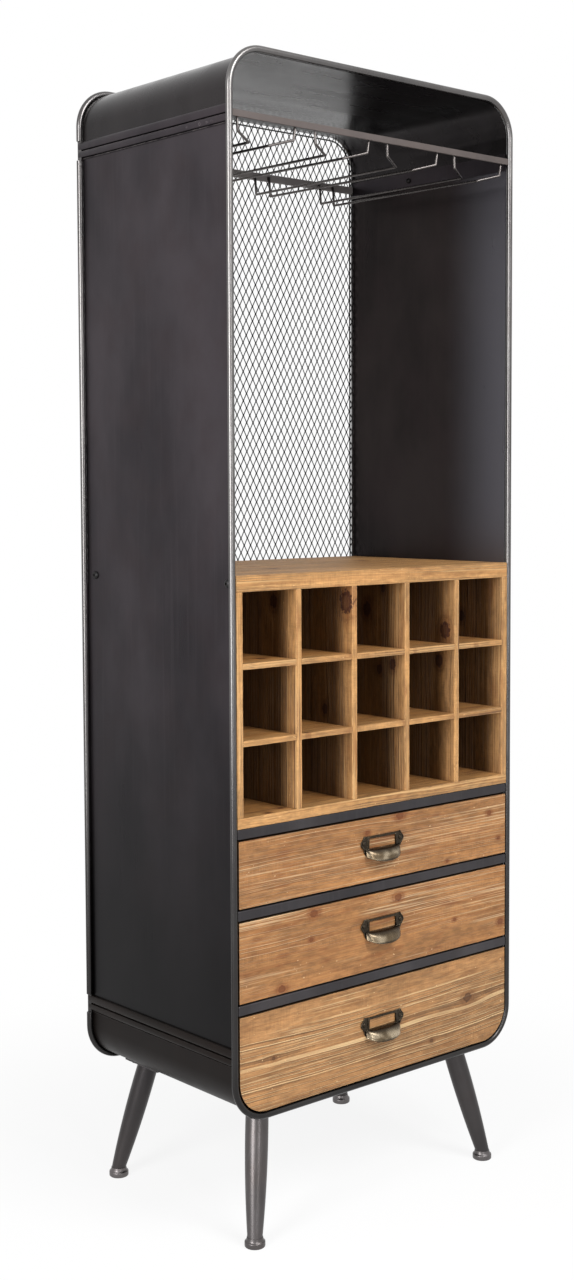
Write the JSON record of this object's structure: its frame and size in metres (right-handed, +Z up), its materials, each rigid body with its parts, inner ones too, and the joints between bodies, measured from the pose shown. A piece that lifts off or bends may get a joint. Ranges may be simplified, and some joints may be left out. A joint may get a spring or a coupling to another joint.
{
  "type": "wine cabinet",
  "caption": "Tall steel and fir wine cabinet with hanging glass rails over an open display space, a bottle rack, drawers with cup pulls and splayed legs.",
  "frame": {"origin": "on the floor, under the middle of the whole cabinet", "axes": "+Z up, front towards -Y, +X to the right seen from the front"},
  "size_m": [0.61, 0.4066, 1.79],
  "materials": {
    "skin_steel": "dark patinated sheet, satin",
    "bar_steel": "dark patinated bar, satin",
    "mesh_steel": "dark expanded metal",
    "black_fasteners": "blackened screws",
    "rack_fir": "brushed and oiled fir",
    "drawer_fir": "brushed and oiled fir",
    "antique_brass": "darkened antique brass"
  },
  "bodies": {
    "cabinet": {"top_cap": "skin_steel", "bottom_pan": "skin_steel", "left_side_panel": "skin_steel", "right_side_panel": "skin_steel", "upper_seam_strips": "skin_steel", "lower_seam_strips": "skin_steel", "seam_backings": "skin_steel", "lower_back_panel": "skin_steel", "leg_plates": "skin_steel", "front_loop": "bar_steel", "rear_loop": "bar_steel", "front_glass_bar": "bar_steel", "rear_glass_bar": "bar_steel", "cross_rail_1": "bar_steel", "cross_rail_2": "bar_steel", "cross_rail_3": "bar_steel", "rack_rear_rail": "bar_steel", "drawer_runners": "bar_steel", "front_left_leg": "bar_steel", "front_right_leg": "bar_steel", "rear_left_leg": "bar_steel", "rear_right_leg": "bar_steel", "feet": "bar_steel", "glass_rail_1": "bar_steel", "glass_rail_2": "bar_steel", "glass_rail_3": "bar_steel", "glass_rail_4": "bar_steel", "back_mesh": "mesh_steel", "seam_nuts": "black_fasteners", "rack_screws": "black_fasteners", "leg_bolts": "black_fasteners", "rack_top_board": "rack_fir", "rack_bottom_board": "rack_fir", "rack_left_side": "rack_fir", "rack_right_side": "rack_fir", "rack_shelf_1": "rack_fir", "rack_shelf_2": "rack_fir", "rack_upright_1": "rack_fir", "rack_upright_2": "rack_fir", "rack_upright_3": "rack_fir", "rack_upright_4": "rack_fir"},
    "drawer_1": {"drawer_1_front": "drawer_fir", "drawer_1_sides": "drawer_fir", "drawer_1_back": "drawer_fir", "drawer_1_bottom": "drawer_fir", "drawer_1_pull": "antique_brass", "drawer_1_pull_screws": "antique_brass"},
    "drawer_2": {"drawer_2_front": "drawer_fir", "drawer_2_sides": "drawer_fir", "drawer_2_back": "drawer_fir", "drawer_2_bottom": "drawer_fir", "drawer_2_pull": "antique_brass", "drawer_2_pull_screws": "antique_brass"},
    "drawer_3": {"drawer_3_front": "drawer_fir", "drawer_3_sides": "drawer_fir", "drawer_3_back": "drawer_fir", "drawer_3_bottom": "drawer_fir", "drawer_3_pull": "antique_brass", "drawer_3_pull_screws": "antique_brass"}
  },
  "joints": [
    {"name": "drawer_1_slide", "type": "slide", "parent": "cabinet", "child": "drawer_1", "axis": [0, -1, 0], "range_m": [0, 0.27]},
    {"name": "drawer_2_slide", "type": "slide", "parent": "cabinet", "child": "drawer_2", "axis": [0, -1, 0], "range_m": [0, 0.27]},
    {"name": "drawer_3_slide", "type": "slide", "parent": "cabinet", "child": "drawer_3", "axis": [0, -1, 0], "range_m": [0, 0.27]}
  ]
}
